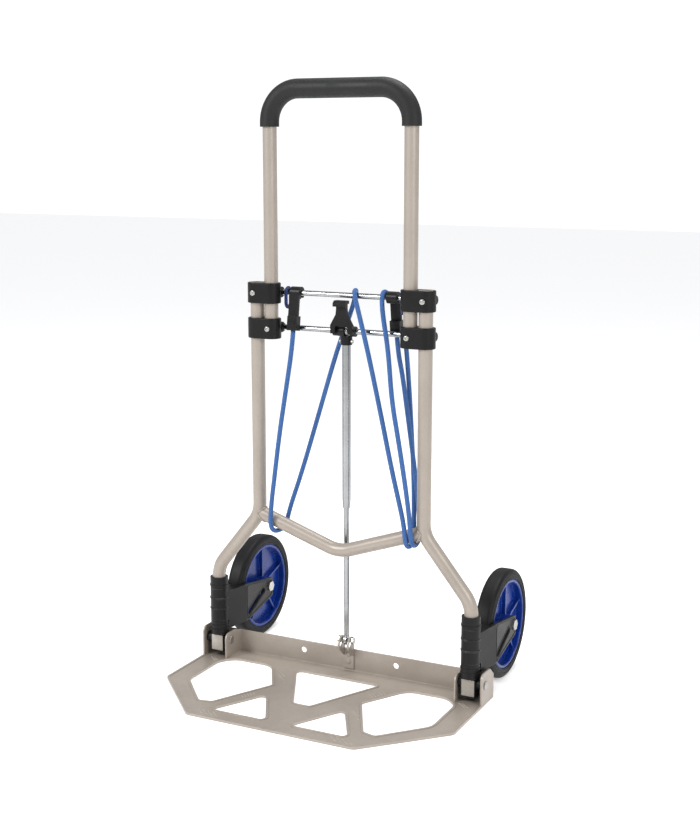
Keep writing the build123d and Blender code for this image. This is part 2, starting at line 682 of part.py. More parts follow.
def fork(side):
    """A panel that widens from the sleeve to two arms, one on each side of the wheel."""
    x = side * WHEEL_TUBE_X
    inside = FORK_HALF_W - FORK_WALL
    narrow = COLLAR_D / 2
    (y0, z0), (y1, z1) = FORK_SLOT
    slot_length = ((y1 - y0) ** 2 + (z1 - z0) ** 2) ** 0.5
    cavity_y = AXLE_BACK - WHEEL_R - 3.0
    with BuildPart() as piece:
        with BuildSketch(level(x, 0, FORK_Z[0])):
            with BuildLine():
                Polyline((-narrow, 0), (-FORK_HALF_W, FORK_FLARE_Y), (-FORK_HALF_W, FORK_END_Y),
                         (FORK_HALF_W, FORK_END_Y), (FORK_HALF_W, FORK_FLARE_Y), (narrow, 0), close=True)
            make_face()
            with BuildLine():
                Polyline((-inside + 2.5, cavity_y), (-inside, FORK_FLARE_Y + 4), (-inside, FORK_END_Y + 1),
                         (inside, FORK_END_Y + 1), (inside, FORK_FLARE_Y + 4), (inside - 2.5, cavity_y),
                         close=True)
            make_face(mode=Mode.SUBTRACT)
        extrude(amount=FORK_Z[1] - FORK_Z[0])
        with BuildSketch(across(x, 0, 0)) as outline:
            with BuildLine():
                Polyline((0, FORK_Z[0]), (FORK_FLARE_Y + 10, FORK_Z[0]), (FORK_END_Y, FORK_ARM_LOW_Z),
                         (FORK_END_Y, FORK_ARM_HIGH_Z), (FORK_FLARE_Y, FORK_Z[1]), (0, FORK_Z[1]),
                         close=True)
            make_face()
            fillet(outline.vertices().filter_by(lambda v: abs(v.Y - FORK_END_Y) < 1), 9.0)
        extrude(amount=FORK_HALF_W + 1, both=True, mode=Mode.INTERSECT)
        with BuildSketch(across(x, (y0 + y1) / 2, (z0 + z1) / 2)):
            SlotCenterToCenter(slot_length - FORK_SLOT_W, FORK_SLOT_W,
                               rotation=degrees(atan2(z1 - z0, y1 - y0)))
            with Locations((AXLE_BACK - (y0 + y1) / 2, WHEEL_R - (z0 + z1) / 2)):
                Circle(AXLE_D / 2)
        extrude(amount=FORK_HALF_W + 1, both=True, mode=Mode.SUBTRACT)
        # The panel stands clear of the two fixed collars above and below the sleeve.
        for low, high in ((0, SLEEVE_Z[0]), (SLEEVE_Z[1], FORK_Z[1] + COLLAR_D)):
            with BuildSketch(level(x, 0, low)):
                Circle(COLLAR_D / 2 + RIDGE + COLLAR_GAP)
            extrude(amount=high - low, mode=Mode.SUBTRACT)
        add(collar(side, SLEEVE_Z[0], SLEEVE_Z[1], TUBE_R, (86.0, 104.0)))
        with BuildSketch(level(x, 0, 0)):
            Circle(TUBE_R + SLIDE_GAP)
        extrude(amount=BEND_LOW_Z, mode=Mode.SUBTRACT)
    return piece.part


def axle(side):
    """The axle bolt: its hexagon head is on the cart's right of each fork."""
    x = side * WHEEL_TUBE_X
    with BuildPart() as bolt:
        with BuildSketch(across(x, AXLE_BACK, WHEEL_R)):
            Circle(AXLE_D / 2)
        extrude(amount=FORK_HALF_W, both=True)
        add(hexagon_prism(x + FORK_HALF_W, AXLE_BACK, WHEEL_R, NUT_H, NUT_ACROSS))
    return bolt.part


# ---- Wheels ------------------------------------------------------------------------------------
TYRE_SHOULDER_R = 7.0
RIM_WALL = 5.5
RIM_W_ACROSS = 25.0
WEB = 3.5
SPOKE_T = 3.2
SPOKE_W = 17.0
HUB_LENGTH = 2 * (FORK_HALF_W - FORK_WALL - SLIDE_GAP)


def disc(part_x, radius, width, hole_r=0.0):
    with BuildPart() as piece:
        with BuildSketch(across(part_x, AXLE_BACK, WHEEL_R)):
            Circle(radius)
            if hole_r:
                Circle(hole_r, mode=Mode.SUBTRACT)
        extrude(amount=width / 2, both=True)
    return piece.part


def tyre(side):
    x = side * WHEEL_TUBE_X
    with BuildPart() as ring:
        add(disc(x, WHEEL_R, TYRE_W))
        fillet(ring.edges().filter_by(GeomType.CIRCLE), TYRE_SHOULDER_R)
        add(disc(x, RIM_D / 2, TYRE_W), mode=Mode.SUBTRACT)
    return ring.part


def hub(side):
    """The blue hub: rim, thin web, boss and radial spokes."""
    x = side * WHEEL_TUBE_X
    inside_r = RIM_D / 2 - RIM_WALL
    spoke_mid = (inside_r + HUB_BOSS_D / 2) / 2
    spoke_length = inside_r - HUB_BOSS_D / 2 + 2.0
    with BuildPart() as piece:
        add(disc(x, RIM_D / 2, RIM_W_ACROSS, inside_r))
        add(disc(x, inside_r + 1, WEB))
        add(disc(x, HUB_BOSS_D / 2, HUB_LENGTH))
        with BuildSketch(across(x, AXLE_BACK, WHEEL_R)):
            with PolarLocations(spoke_mid, SPOKES, start_angle=90):
                Rectangle(spoke_length, SPOKE_T)
        extrude(amount=SPOKE_W / 2, both=True)
        add(disc(x, AXLE_D / 2 + PIN_GAP, 2 * HUB_LENGTH), mode=Mode.SUBTRACT)
    return piece.part


for word, side in SIDES.items():
    save(foot_block(side), f"foot_block_{word}")
    save(hinge_bush(side), f"hinge_bush_{word}")
    save(hinge_pin(side), f"hinge_pin_{word}")
    save(collar(side, SLEEVE_Z[1] + COLLAR_GAP, COLLAR_TOP_Z, TUBE_R, (126.0,)), f"upper_collar_{word}")
    save(collar(side, COLLAR_END_Z, SLEEVE_Z[0] - COLLAR_GAP, TUBE_R, (50.0, 57.0)),
         f"lower_collar_{word}")
    save(fork(side), f"wheel_fork_{word}")
    save(axle(side), f"axle_{word}")
    save(hexagon_prism(side * WHEEL_TUBE_X - FORK_HALF_W, AXLE_BACK, WHEEL_R, -NUT_H, NUT_ACROSS),
         f"axle_nut_{word}")
    save(tyre(side), f"tyre_{word}")
    save(hub(side), f"wheel_hub_{word}")

# ---- Cord hooks and keepers on the upper crossbar ----------------------------------------------
HOOK_BORE_R = BAR_D / 2 + 0.3
HOOK_RING_R = 9.8
HOOK_LENGTH = 60.0
HOOK_BLOCK_H = 23.0
HOOK_CORD_U = 5.5        # the cord's hole, from the line through the crossbar's centre


def hook_plane(x, way):
    """A plane through the upper crossbar, tilted so that the hook's foot leans to way * Y."""
    tilt = radians(HOOK_TILT) * way
    return Plane(origin=(x, BAR_Y, UPPER_CLAMP_Z), x_dir=(0, cos(tilt), sin(tilt)), z_dir=(1, 0, 0))


def cord_hook(x, way):
    """A hook that snaps over the crossbar, with its shank in front (way -1) or behind (way +1)."""
    with BuildPart() as hook:
        with BuildSketch(hook_plane(x, way)):
            Circle(HOOK_RING_R)
            with Locations((way * (HOOK_BORE_R + HOOK_RING_R) / 2, -HOOK_LENGTH / 2)):
                Rectangle(HOOK_RING_R - HOOK_BORE_R, HOOK_LENGTH)
            with Locations((way * HOOK_CORD_U, HOOK_BLOCK_H / 2 - HOOK_LENGTH)):
                Rectangle(13.0, HOOK_BLOCK_H)
            Circle(HOOK_BORE_R, mode=Mode.SUBTRACT)
            with Locations((-way * 2.5, -HOOK_RING_R / 2)):
                Rectangle(HOOK_BORE_R * 1.55, HOOK_RING_R + 2, mode=Mode.SUBTRACT)
        extrude(amount=HOOK_W / 2, both=True)
    return hook.part


def hook_mouth(x, way, below=0.0):
    return tuple(hook_plane(x, way).from_local_coords((way * HOOK_CORD_U, -HOOK_LENGTH - below, 0)))


def keeper(x):
    """A short closed loop of thin cord that hangs on the crossbar."""
    radius = BAR_D / 2 + KEEPER_D / 2 + 0.1
    drop = 16.0
    centre = across(x, BAR_Y, UPPER_CLAMP_Z)
    with BuildPart() as loop:
        with BuildLine(centre) as path:
            Line((radius, -drop), (radius, 0))
            CenterArc((0, 0), radius, 0, 180)
            Line((-radius, 0), (-radius, -drop))
            CenterArc((0, -drop), radius, 180, 180)
        with BuildSketch(level(x, BAR_Y + radius, UPPER_CLAMP_Z - drop)):
            Circle(KEEPER_D / 2)
        sweep()
    return loop.part


save(cord_hook(LEFT_HOOK_X, -1), "cord_hook_left")
save(cord_hook(RIGHT_HOOK_X, 1), "cord_hook_right")
for word, side in SIDES.items():
    save(keeper(side * KEEPER_X), f"cord_keeper_{word}")

# ---- Elastic cord ------------------------------------------------------------------------------
# The cord runs from the left hook down in front, round the cross tube, up behind, over the upper
# crossbar, and so on to the right hook. A point with a fourth number is a corner where the cord is
# pulled round a tube or a bar, and the number is that arc's radius.
OVER_BAR = 8.4
ROUND_TUBE = 15.8
CORD_ROUTE = [
    hook_mouth(LEFT_HOOK_X, -1),
    hook_mouth(LEFT_HOOK_X, -1, 28.0),
    (-89, -15, 462),
    (-96, -22, 400),
    (-107, -20, 328),
    (-116, -16.4, 278),
    (-118, -15.9, 234.5, ROUND_TUBE),
    (-108, 15.9, 234.5, ROUND_TUBE),
    (-100, 19, 272),
    (-86, 31, 324),
    (-59, 37, 417),
    (-30, 41, 516),
    (-17, 41, 552),
    (3, 36, 596),
    (17, 28.5, 631, OVER_BAR),
    (19, 11.5, 631, OVER_BAR),
    (27, 9, 605),
    (47, 4, 541),
    (80, -13, 437),
    (100, -21.5, 366),
    (112, -20.5, 316),
    (120, -17, 276),
    (123, -15.9, 238.3, ROUND_TUBE),
    (123, 15.9, 238.3, ROUND_TUBE),
    (120, 21, 280),
    (110, 42, 335),
    (103, 45.5, 429),
    (95, 47.5, 523),
    (90, 47, 566),
    (78, 42, 600),
    (68.5, 28.5, 631, OVER_BAR),
    (67.5, 11.5, 631, OVER_BAR),
    (69.5, 8, 602),
    (84, 0, 544),
    (99, -19.5, 471),
    (113, -24.5, 411),
    (124, -23.5, 345),
    (130, -18, 286),
    (132, -15.9, 241.3, ROUND_TUBE),
    (132, 15.9, 241.3, ROUND_TUBE),
    (130, 19.5, 281),
    (118, 34, 332),
    (104, 36, 420),
    (92, 36.5, 500),
    hook_mouth(RIGHT_HOOK_X, 1, 28.0),
    hook_mouth(RIGHT_HOOK_X, 1),
]


def bend_radii(route):
    """As large an arc at each corner as its two runs allow, or the given one where the cord is tight."""
    points = [Vector(*p[:3]) for p in route]
    radii = []
    for i in range(1, len(points) - 1):
        before, after = points[i] - points[i - 1], points[i + 1] - points[i]
        half_turn = radians(before.get_angle(after)) / 2
        free = 0.45 * min(before.length, after.length) / tan(half_turn)
        radii.append(route[i][3] if len(route[i]) > 3 else free)
    return points, radii


cord_points, cord_radii = bend_radii(CORD_ROUTE)
with BuildPart() as cord:
    with BuildLine() as cord_path:
        FilletPolyline(*cord_points, radius=cord_radii)
    with BuildSketch(Plane(origin=cord_path.line @ 0, z_dir=cord_path.line % 0)):
        Circle(CORD_D / 2)
    sweep()
save(cord.part, "elastic_cord")

cord_length = sum(edge.length for edge in cord_path.edges())
print("cord radii", [round(r) for r in cord_radii])
print(f"cord length {cord_length:.0f}, volume over section times length "
      f"{cord.part.volume / (pi * CORD_D ** 2 / 4 * cord_length):.4f}")
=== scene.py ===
# %% [markdown]
# # A folding platform cart, finished in Blender
# The cart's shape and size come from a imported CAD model: bent tubes, clamps, crossbars, a lifting
# rod, a slotted toe plate and two wheels that swing in. This lesson loads it as a fixed frame, lights
# it, gives each surface its own finish, and adds the pieces that are easier to make here: the braided
# elastic cord, weld beads, tread ridges, moulded rims, tyre rings and grip lines. Lengths are in metres.

# %% Load the fixed frame
from math import atan2, cos, pi, radians, sin, sqrt

import bmesh
import bpy
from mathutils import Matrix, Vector


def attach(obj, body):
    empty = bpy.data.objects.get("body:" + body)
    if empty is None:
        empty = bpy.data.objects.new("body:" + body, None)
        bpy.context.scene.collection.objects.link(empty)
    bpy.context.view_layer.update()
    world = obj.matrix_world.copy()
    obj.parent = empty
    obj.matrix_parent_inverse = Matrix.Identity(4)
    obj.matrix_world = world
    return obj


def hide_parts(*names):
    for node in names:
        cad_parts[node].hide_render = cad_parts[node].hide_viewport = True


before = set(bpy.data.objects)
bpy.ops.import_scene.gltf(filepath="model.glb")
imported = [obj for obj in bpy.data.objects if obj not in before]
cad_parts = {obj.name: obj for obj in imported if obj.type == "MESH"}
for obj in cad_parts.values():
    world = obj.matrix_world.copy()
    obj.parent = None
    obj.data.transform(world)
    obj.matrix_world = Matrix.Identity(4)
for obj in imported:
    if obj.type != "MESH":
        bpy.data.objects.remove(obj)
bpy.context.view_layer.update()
MM = 0.001
SIDES = {"left": -1, "right": 1}

# %% [markdown]
# ## Camera
# A product shot of a tall cart is taken from a step to its right, at about the height of its crossbars,
# with a longish lens, so that upright tubes stay upright. The aim is set by a direction, and
# `to_track_quat` turns that direction into a camera rotation.

# %% Camera
camera_data = bpy.data.cameras.new("camera")
camera_data.lens = 61.18
camera_data.sensor_width = 36.0
camera_data.clip_end = 60.0
camera = bpy.data.objects.new("camera", camera_data)
camera.location = (0.97748, -1.92388, 0.85457)
looks_along = Vector((-0.4381, 0.8790, -0.1883))
camera.rotation_euler = looks_along.to_track_quat("-Z", "Y").to_euler()
bpy.context.scene.collection.objects.link(camera)
bpy.context.scene.camera = camera
print("camera at", tuple(round(v, 2) for v in camera.location))

# %% [markdown]
# ## The elastic cord
# The real cord is one long rubber cord in a woven sleeve. It hangs from a hook on the upper crossbar, goes down
# in front of the frame, round the V-shaped cross tube, up behind it, over the crossbar, and so on until it ends
# in a second hook. A NURBS spline through listed control points gives the easy curves of a cord that is only
# lightly pulled. Two points on top of a bar bend it round the bar.

# %% The cord's route
HOOK_CORD_U = 5.5 * MM      # from the line through the crossbar to the cord's hole
HOOK_LENGTH = 60.0 * MM
HOOK_TILT = radians(8.0)
LEFT_HOOK_X, RIGHT_HOOK_X = -85 * MM, 83 * MM
CORD_D = 7.5 * MM
BAR = Vector((0, 20.0 * MM, 622.5 * MM))
BAR_R = 4.5 * MM


def hook_mouth(x, way, below=0.0):
    """The point where the cord leaves a hook that leans to way * Y, or a point further down its line."""
    along = Vector((0, cos(HOOK_TILT), sin(HOOK_TILT) * way))
    up = Vector((0, -sin(HOOK_TILT) * way, cos(HOOK_TILT)))
    place = BAR + along * way * HOOK_CORD_U - up * (HOOK_LENGTH + below)
    return (x, place.y, place.z)


def in_metres(points):
    return [tuple(v * MM for v in p) for p in points]


CORD_ROUTE = [
    hook_mouth(LEFT_HOOK_X, -1),
    hook_mouth(LEFT_HOOK_X, -1, 28 * MM),
    *in_metres([
        (-89, -15, 462), (-96, -22, 400), (-107, -20, 328), (-116, -16.4, 278),
        (-118, -15.9, 234.5), (-108, 15.9, 234.5),
        (-100, 19, 272), (-86, 31, 324), (-59, 37, 417), (-30, 41, 516), (-17, 41, 552), (3, 36, 596),
        (17, 28.5, 631), (19, 11.5, 631),
        (27, 9, 605), (47, 4, 541), (80, -13, 437), (100, -21.5, 366), (112, -20.5, 316), (120, -17, 276),
        (123, -15.9, 238.3), (123, 15.9, 238.3),
        (120, 21, 280), (110, 42, 335), (103, 45.5, 429), (95, 47.5, 523), (90, 47, 566), (78, 42, 600),
        (68.5, 28.5, 631), (67.5, 11.5, 631),
        (69.5, 8, 602), (84, 0, 544), (99, -19.5, 471), (113, -24.5, 411), (124, -23.5, 345),
        (130, -18, 286),
        (132, -15.9, 241.3), (132, 15.9, 241.3),
        (130, 19.5, 281), (118, 34, 332), (104, 36, 420), (92, 36.5, 500),
    ]),
    hook_mouth(RIGHT_HOOK_X, 1, 28 * MM),
    hook_mouth(RIGHT_HOOK_X, 1),
]


def spline_points(route, resolution=10):
    """The points along a smooth NURBS line with the route's points as its control points."""
    curve = bpy.data.curves.new("route", "CURVE")
    curve.dimensions = "3D"
    curve.resolution_u = resolution
    spline = curve.splines.new("NURBS")
    spline.points.add(len(route) - 1)
    for point, place in zip(spline.points, route):
        point.co = (*place, 1.0)
    spline.order_u = 3
    spline.use_endpoint_u = True
    holder = bpy.data.objects.new("route", curve)
    bpy.context.scene.collection.objects.link(holder)
    graph = bpy.context.evaluated_depsgraph_get()
    mesh = bpy.data.meshes.new_from_object(holder.evaluated_get(graph))
    points = [v.co.copy() for v in mesh.vertices]
    bpy.data.objects.remove(holder)
    bpy.data.curves.remove(curve)
    bpy.data.meshes.remove(mesh)
    return points


cord_line = spline_points(CORD_ROUTE)
cord_length = sum((b - a).length for a, b in zip(cord_line, cord_line[1:]))
print(f"cord line of {len(cord_line)} points, {cord_length:.3f} m long")


# %% [markdown]
# ## Tubes that carry their own UV map
# A woven sleeve has to wind round the cord, so its pattern needs to know how far along and how far
# round each point is. A bevelled curve could do it, but a tube built ring by ring gives a UV map whose
# units are real: U counts turns round the cord and V is the length in metres. Each ring's frame is
# carried from the one before it, so the braid doesn't twist.

# %% Tube builder
def tube_mesh(name, line, radius, sides=16, closed=False):
    """A tube along a line of points, with U round it and V along it in metres."""
    mesh = bmesh.new()
    uv = mesh.loops.layers.uv.new("UVMap")
    count = len(line)
    ahead = [(line[(i + 1) % count] - line[i - 1]) for i in range(count)]
    if not closed:
        ahead[0] = line[1] - line[0]
        ahead[-1] = line[-1] - line[-2]
    side = ahead[0].orthogonal().normalized()
    rings, lengths, run = [], [], 0.0
    for i, point in enumerate(line):
        along = ahead[i].normalized()
        side = (side - along * side.dot(along)).normalized()
        other = along.cross(side)
        run += (point - line[i - 1]).length if i else 0.0
        lengths.append(run)
        rings.append([mesh.verts.new(point + (side * cos(a) + other * sin(a)) * radius)
                      for a in (2 * pi * k / sides for k in range(sides))])
    spans = count if closed else count - 1
    for i in range(spans):
        j = (i + 1) % count
        end = lengths[j] if j else run + (line[0] - line[-1]).length
        for k in range(sides):
            corners = (rings[i][k], rings[i][(k + 1) % sides], rings[j][(k + 1) % sides], rings[j][k])
            face = mesh.faces.new(corners)
            face.smooth = True
            spots = ((k, lengths[i]), (k + 1, lengths[i]), (k + 1, end), (k, end))
            for loop, (u, v) in zip(face.loops, spots):
                loop[uv].uv = (u / sides, v)
    if not closed:
        for ring in (rings[0], rings[-1]):
            mesh.faces.new(ring)
    bmesh.ops.recalc_face_normals(mesh, faces=mesh.faces)
    data = bpy.data.meshes.new(name)
    mesh.to_mesh(data)
    mesh.free()
    piece = bpy.data.objects.new(name, data)
    bpy.context.scene.collection.objects.link(piece)
    return piece


elastic = tube_mesh("elastic_cord_braided", cord_line, CORD_D / 2)
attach(elastic, "frame")
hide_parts("elastic_cord")
print("cord mesh has", len(elastic.data.polygons), "faces")

# %% [markdown]
# ## Keeper loops
# Close to each clamp a short closed loop of thinner cord hangs on the upper crossbar. It is a stadium:
# two half circles joined by straight sides, worked out from the bar it hangs on.

# %% Keeper loops
KEEPER_D = 5.5 * MM
KEEPER_X = 101 * MM
KEEPER_GAP = 0.1 * MM
keeper_r = BAR_R + KEEPER_D / 2 + KEEPER_GAP
keeper_drop = 16.0 * MM
for word, side in SIDES.items():
    line = []
    for centre, start in ((0.0, 0.0), (-keeper_drop, pi)):
        for step in range(25):
            angle = start + pi * step / 24
            line.append(Vector((side * KEEPER_X, BAR.y + keeper_r * cos(angle),
                                BAR.z + centre + keeper_r * sin(angle))))
    loop = tube_mesh(f"keeper_loop_{word}", line, KEEPER_D / 2, closed=True)
    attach(loop, "frame")
    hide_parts(f"cord_keeper_{word}")
print("two keeper loops")

# %% [markdown]
# ## Shared effects
# Nearly all the finishes share the same few effects: a fine moulded or sprayed grain, soft patches where hands
# and dust have dulled the surface, and paler corners, which are wear on most finishes and a painted highlight
# on the hub, the tyre and the fork arms. Each is a shader node group with named inputs, built once and given
# its own values in each material. The corner mask compares the true normal with one that a Bevel node has
# rounded: they only differ near an edge.

# %% Node group helpers
def new_group(name, inputs, outputs):
    """An empty shader node group; inputs and outputs are (name, kind, default) rows."""
    group = bpy.data.node_groups.new(name, "ShaderNodeTree")
    for label, kind, default in inputs:
        socket = group.interface.new_socket(label, in_out="INPUT", socket_type=kind)
        if default is not None:
            socket.default_value = default
    for label, kind in outputs:
        group.interface.new_socket(label, in_out="OUTPUT", socket_type=kind)
    ends = group.nodes.new("NodeGroupInput"), group.nodes.new("NodeGroupOutput")
    return group, ends[0], ends[1]


def math_node(tree, operation, first, second, clamp=False):
    node = tree.nodes.new("ShaderNodeMath")
    node.operation = operation
    node.use_clamp = clamp
    for socket, value in zip(node.inputs, (first, second)):
        if isinstance(value, (int, float)):
            socket.default_value = value
        else:
            tree.links.new(value, socket)
    return node.outputs[0]


def noise(tree, coordinates, scale, detail=3.0, roughness=0.55):
    node = tree.nodes.new("ShaderNodeTexNoise")
    node.inputs["Detail"].default_value = detail
    node.inputs["Roughness"].default_value = roughness
    if isinstance(scale, (int, float)):
        node.inputs["Scale"].default_value = scale
    else:
        tree.links.new(scale, node.inputs["Scale"])
    tree.links.new(coordinates, node.inputs["Vector"])
    return node.outputs["Fac"]


def remap(tree, value, low, high, to_low, to_high):
    node = tree.nodes.new("ShaderNodeMapRange")
    for socket, number in zip(list(node.inputs)[1:5], (low, high, to_low, to_high)):
        socket.default_value = number
    tree.links.new(value, node.inputs[0])
    return node.outputs[0]


# %% Grain group
FLOAT, VECTOR = "NodeSocketFloat", "NodeSocketVector"
grain_group, given, out = new_group(
    "Fine grain",
    [("Scale", FLOAT, 900.0), ("Depth", FLOAT, 0.0001), ("Corner radius", FLOAT, 0.0006)],
    [("Normal", VECTOR), ("Grain", FLOAT)],
)
place = grain_group.nodes.new("ShaderNodeTexCoord")
speckle = noise(grain_group, place.outputs["Object"], given.outputs["Scale"], 2.0)
rounded = grain_group.nodes.new("ShaderNodeBevel")
rounded.samples = 4
grain_group.links.new(given.outputs["Corner radius"], rounded.inputs["Radius"])
bump = grain_group.nodes.new("ShaderNodeBump")
bump.inputs["Strength"].default_value = 1.0
grain_group.links.new(given.outputs["Depth"], bump.inputs["Distance"])
grain_group.links.new(speckle, bump.inputs["Height"])
grain_group.links.new(rounded.outputs[0], bump.inputs["Normal"])
grain_group.links.new(bump.outputs[0], out.inputs["Normal"])
grain_group.links.new(speckle, out.inputs["Grain"])
print("group:", grain_group.name)

# %% Corner wear and highlight group
wear_and_highlight_group, given, out = new_group(
    "Corner scuffs and highlights",
    [("Radius", FLOAT, 0.0012), ("Amount", FLOAT, 0.6)],
    [("Mask", FLOAT)],
)
# Paler corners: wear on most finishes, a painted highlight along the edges on the hub, the tyre and the fork
# arms.
rounded = wear_and_highlight_group.nodes.new("ShaderNodeBevel")
rounded.samples = 4
wear_and_highlight_group.links.new(given.outputs["Radius"], rounded.inputs["Radius"])
flat = wear_and_highlight_group.nodes.new("ShaderNodeNewGeometry")
alike = wear_and_highlight_group.nodes.new("ShaderNodeVectorMath")
alike.operation = "DOT_PRODUCT"
wear_and_highlight_group.links.new(rounded.outputs[0], alike.inputs[0])
wear_and_highlight_group.links.new(flat.outputs["Normal"], alike.inputs[1])
corner = remap(wear_and_highlight_group, alike.outputs["Value"], 0.985, 0.86, 0.0, 1.0)
place = wear_and_highlight_group.nodes.new("ShaderNodeTexCoord")
patchy = remap(wear_and_highlight_group, noise(wear_and_highlight_group, place.outputs["Object"], 60.0, 5.0), 0.42, 0.62, 0.15, 1.0)
worn_and_highlit = math_node(wear_and_highlight_group, "MULTIPLY", corner, patchy)
scaled = math_node(wear_and_highlight_group, "MULTIPLY", worn_and_highlit, given.outputs["Amount"], clamp=True)
wear_and_highlight_group.links.new(scaled, out.inputs["Mask"])
print("group:", wear_and_highlight_group.name)

# %% Handling group
handling_group, given, out = new_group(
    "Handling marks",
    [("Scale", FLOAT, 14.0), ("Low", FLOAT, 0.35), ("High", FLOAT, 0.5)],
    [("Roughness", FLOAT), ("Dust", FLOAT)],
)
place = handling_group.nodes.new("ShaderNodeTexCoord")
broad = noise(handling_group, place.outputs["Object"], given.outputs["Scale"], 4.0, 0.6)
fine = noise(handling_group, place.outputs["Object"], 260.0, 2.0)
both = math_node(handling_group, "ADD", math_node(handling_group, "MULTIPLY", broad, 0.75),
                 math_node(handling_group, "MULTIPLY", fine, 0.25))
patches = remap(handling_group, both, 0.38, 0.62, 0.0, 1.0)
span = math_node(handling_group, "SUBTRACT", given.outputs["High"], given.outputs["Low"])
raised = math_node(handling_group, "MULTIPLY", patches, span)
rough = math_node(handling_group, "ADD", given.outputs["Low"], raised)
handling_group.links.new(rough, out.inputs["Roughness"])
handling_group.links.new(patches, out.inputs["Dust"])
print("group:", handling_group.name)

# %% [markdown]
# ## Materials
# A finish starts as a Principled BSDF. The groups feed its colour, roughness and normal, and plain
# numbers such as coat weight are set on the shader itself. `finish_material` wires that common part,
# and each finish below only says what is its own.

# %% Material builder
def place_group(tree, group, **values):
    node = tree.nodes.new("ShaderNodeGroup")
    node.node_tree = group
    for label, value in values.items():
        node.inputs[label.replace("_", " ").capitalize()].default_value = value
    return node


def mix_colour(tree, amount, first, second):
    node = tree.nodes.new("ShaderNodeMix")
    node.data_type = "RGBA"
    tree.links.new(amount, node.inputs["Factor"])
    for socket, value in ((node.inputs[6], first), (node.inputs[7], second)):
        if isinstance(value, tuple):
            socket.default_value = (*value, 1.0)
        else:
            tree.links.new(value, socket)
    return node.outputs[2]


def finish_material(name, colour, dusty, worn_and_highlit, rough, grain, corner=0.0006, wear_and_highlight=0.5, metallic=0.0, **plain):
    """A material with grain, handling marks and paler corners, which are wear on most finishes and a painted
    highlight on others. rough and grain are pairs of values.
    """
    material = bpy.data.materials.new(name)
    material.use_nodes = True
    tree = material.node_tree
    shader = tree.nodes["Principled BSDF"]
    grain_node = place_group(tree, grain_group, scale=grain[0], depth=grain[1], corner_radius=corner)
    wear_and_highlight_node = place_group(tree, wear_and_highlight_group, radius=corner * 2.0, amount=wear_and_highlight)
    marks = place_group(tree, handling_group, low=rough[0], high=rough[1])
    base = mix_colour(tree, marks.outputs["Dust"], colour, dusty)
    # The corner colour is worn paint or plastic on most finishes and a painted edge highlight on the hub, the
    # tyre and the fork arms.
    final = mix_colour(tree, wear_and_highlight_node.outputs["Mask"], base, worn_and_highlit)
    tree.links.new(final, shader.inputs["Base Color"])
    tree.links.new(marks.outputs["Roughness"], shader.inputs["Roughness"])
    tree.links.new(grain_node.outputs["Normal"], shader.inputs["Normal"])
    shader.inputs["Metallic"].default_value = metallic
    for label, value in plain.items():
        shader.inputs[label.replace("_", " ").title().replace("Ior", "IOR")].default_value = value
    return material


def give(material, *nodes):
    for word in nodes:
        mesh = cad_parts[word].data
        mesh.materials.clear()
        mesh.materials.append(material)


def pair(word):
    return f"{word}_left", f"{word}_right"


# %% [markdown]
# ### Painted tube, plastic, foam, metals, wheel
# The tubes and the plate have a champagne powder coat with a little metal flake and a faint orange
# peel. The clamps and forks are black nylon with a spark-eroded grain, the crossbars are bright
# chrome, small fasteners are zinc plated, and the hub is a glossy deep blue.

# %% Finishes
powder = finish_material("champagne powder coat", (0.37, 0.323, 0.276), (0.335, 0.29, 0.248),
                         (0.55, 0.51, 0.45), (0.34, 0.44), (1500.0, 0.00004), metallic=0.25,
                         coat_weight=0.1, coat_roughness=0.3)
# The ridges get a paler copy of the powder coat: a painted highlight on their tops.
ridge_highlight_paint = finish_material("powder coat with painted ridge highlight", (0.54, 0.49, 0.43), (0.44, 0.40, 0.34),
                              (0.66, 0.62, 0.56), (0.28, 0.4), (1500.0, 0.00004), metallic=0.35)
black = finish_material("black nylon", (0.0045, 0.0042, 0.0045), (0.008, 0.0075, 0.0078), (0.035, 0.034, 0.036),
                        (0.34, 0.46), (1300.0, 0.00005), specular_ior_level=0.22)
gripping = finish_material("foam grip", (0.0035, 0.0035, 0.004), (0.006, 0.006, 0.0065), (0.014, 0.014, 0.015),
                           (0.5, 0.66), (700.0, 0.00022), corner=0.0015, wear_and_highlight=0.3, specular_ior_level=0.4)
bright = finish_material("bright chrome bar", (0.36, 0.365, 0.37), (0.3, 0.305, 0.31), (0.7, 0.7, 0.7),
                         (0.12, 0.22), (2200.0, 0.00001), metallic=1.0)
zinc = finish_material("zinc plating", (0.50, 0.49, 0.46), (0.36, 0.35, 0.33), (0.66, 0.65, 0.63),
                       (0.26, 0.42), (1600.0, 0.00003), metallic=1.0)
cast = finish_material("cast aluminium foot", (0.44, 0.41, 0.37), (0.34, 0.31, 0.27), (0.6, 0.57, 0.52),
                       (0.38, 0.55), (900.0, 0.0001), metallic=0.6)
# The paler blue at the corners is a painted highlight along the hub's edges.
blue = finish_material("blue hub plastic", (0.002, 0.024, 0.21), (0.003, 0.030, 0.23), (0.06, 0.10, 0.34),
                       (0.22, 0.34), (900.0, 0.00002), corner=0.0012, wear_and_highlight=0.9, specular_ior_level=0.35)
# The grey at the corners is a painted sheen along the tyre's shoulders.
tread = finish_material("tyre rubber", (0.0035, 0.0035, 0.004), (0.008, 0.008, 0.009), (0.03, 0.03, 0.034),
                        (0.42, 0.58), (800.0, 0.00008), corner=0.002, wear_and_highlight=0.6, specular_ior_level=0.2)

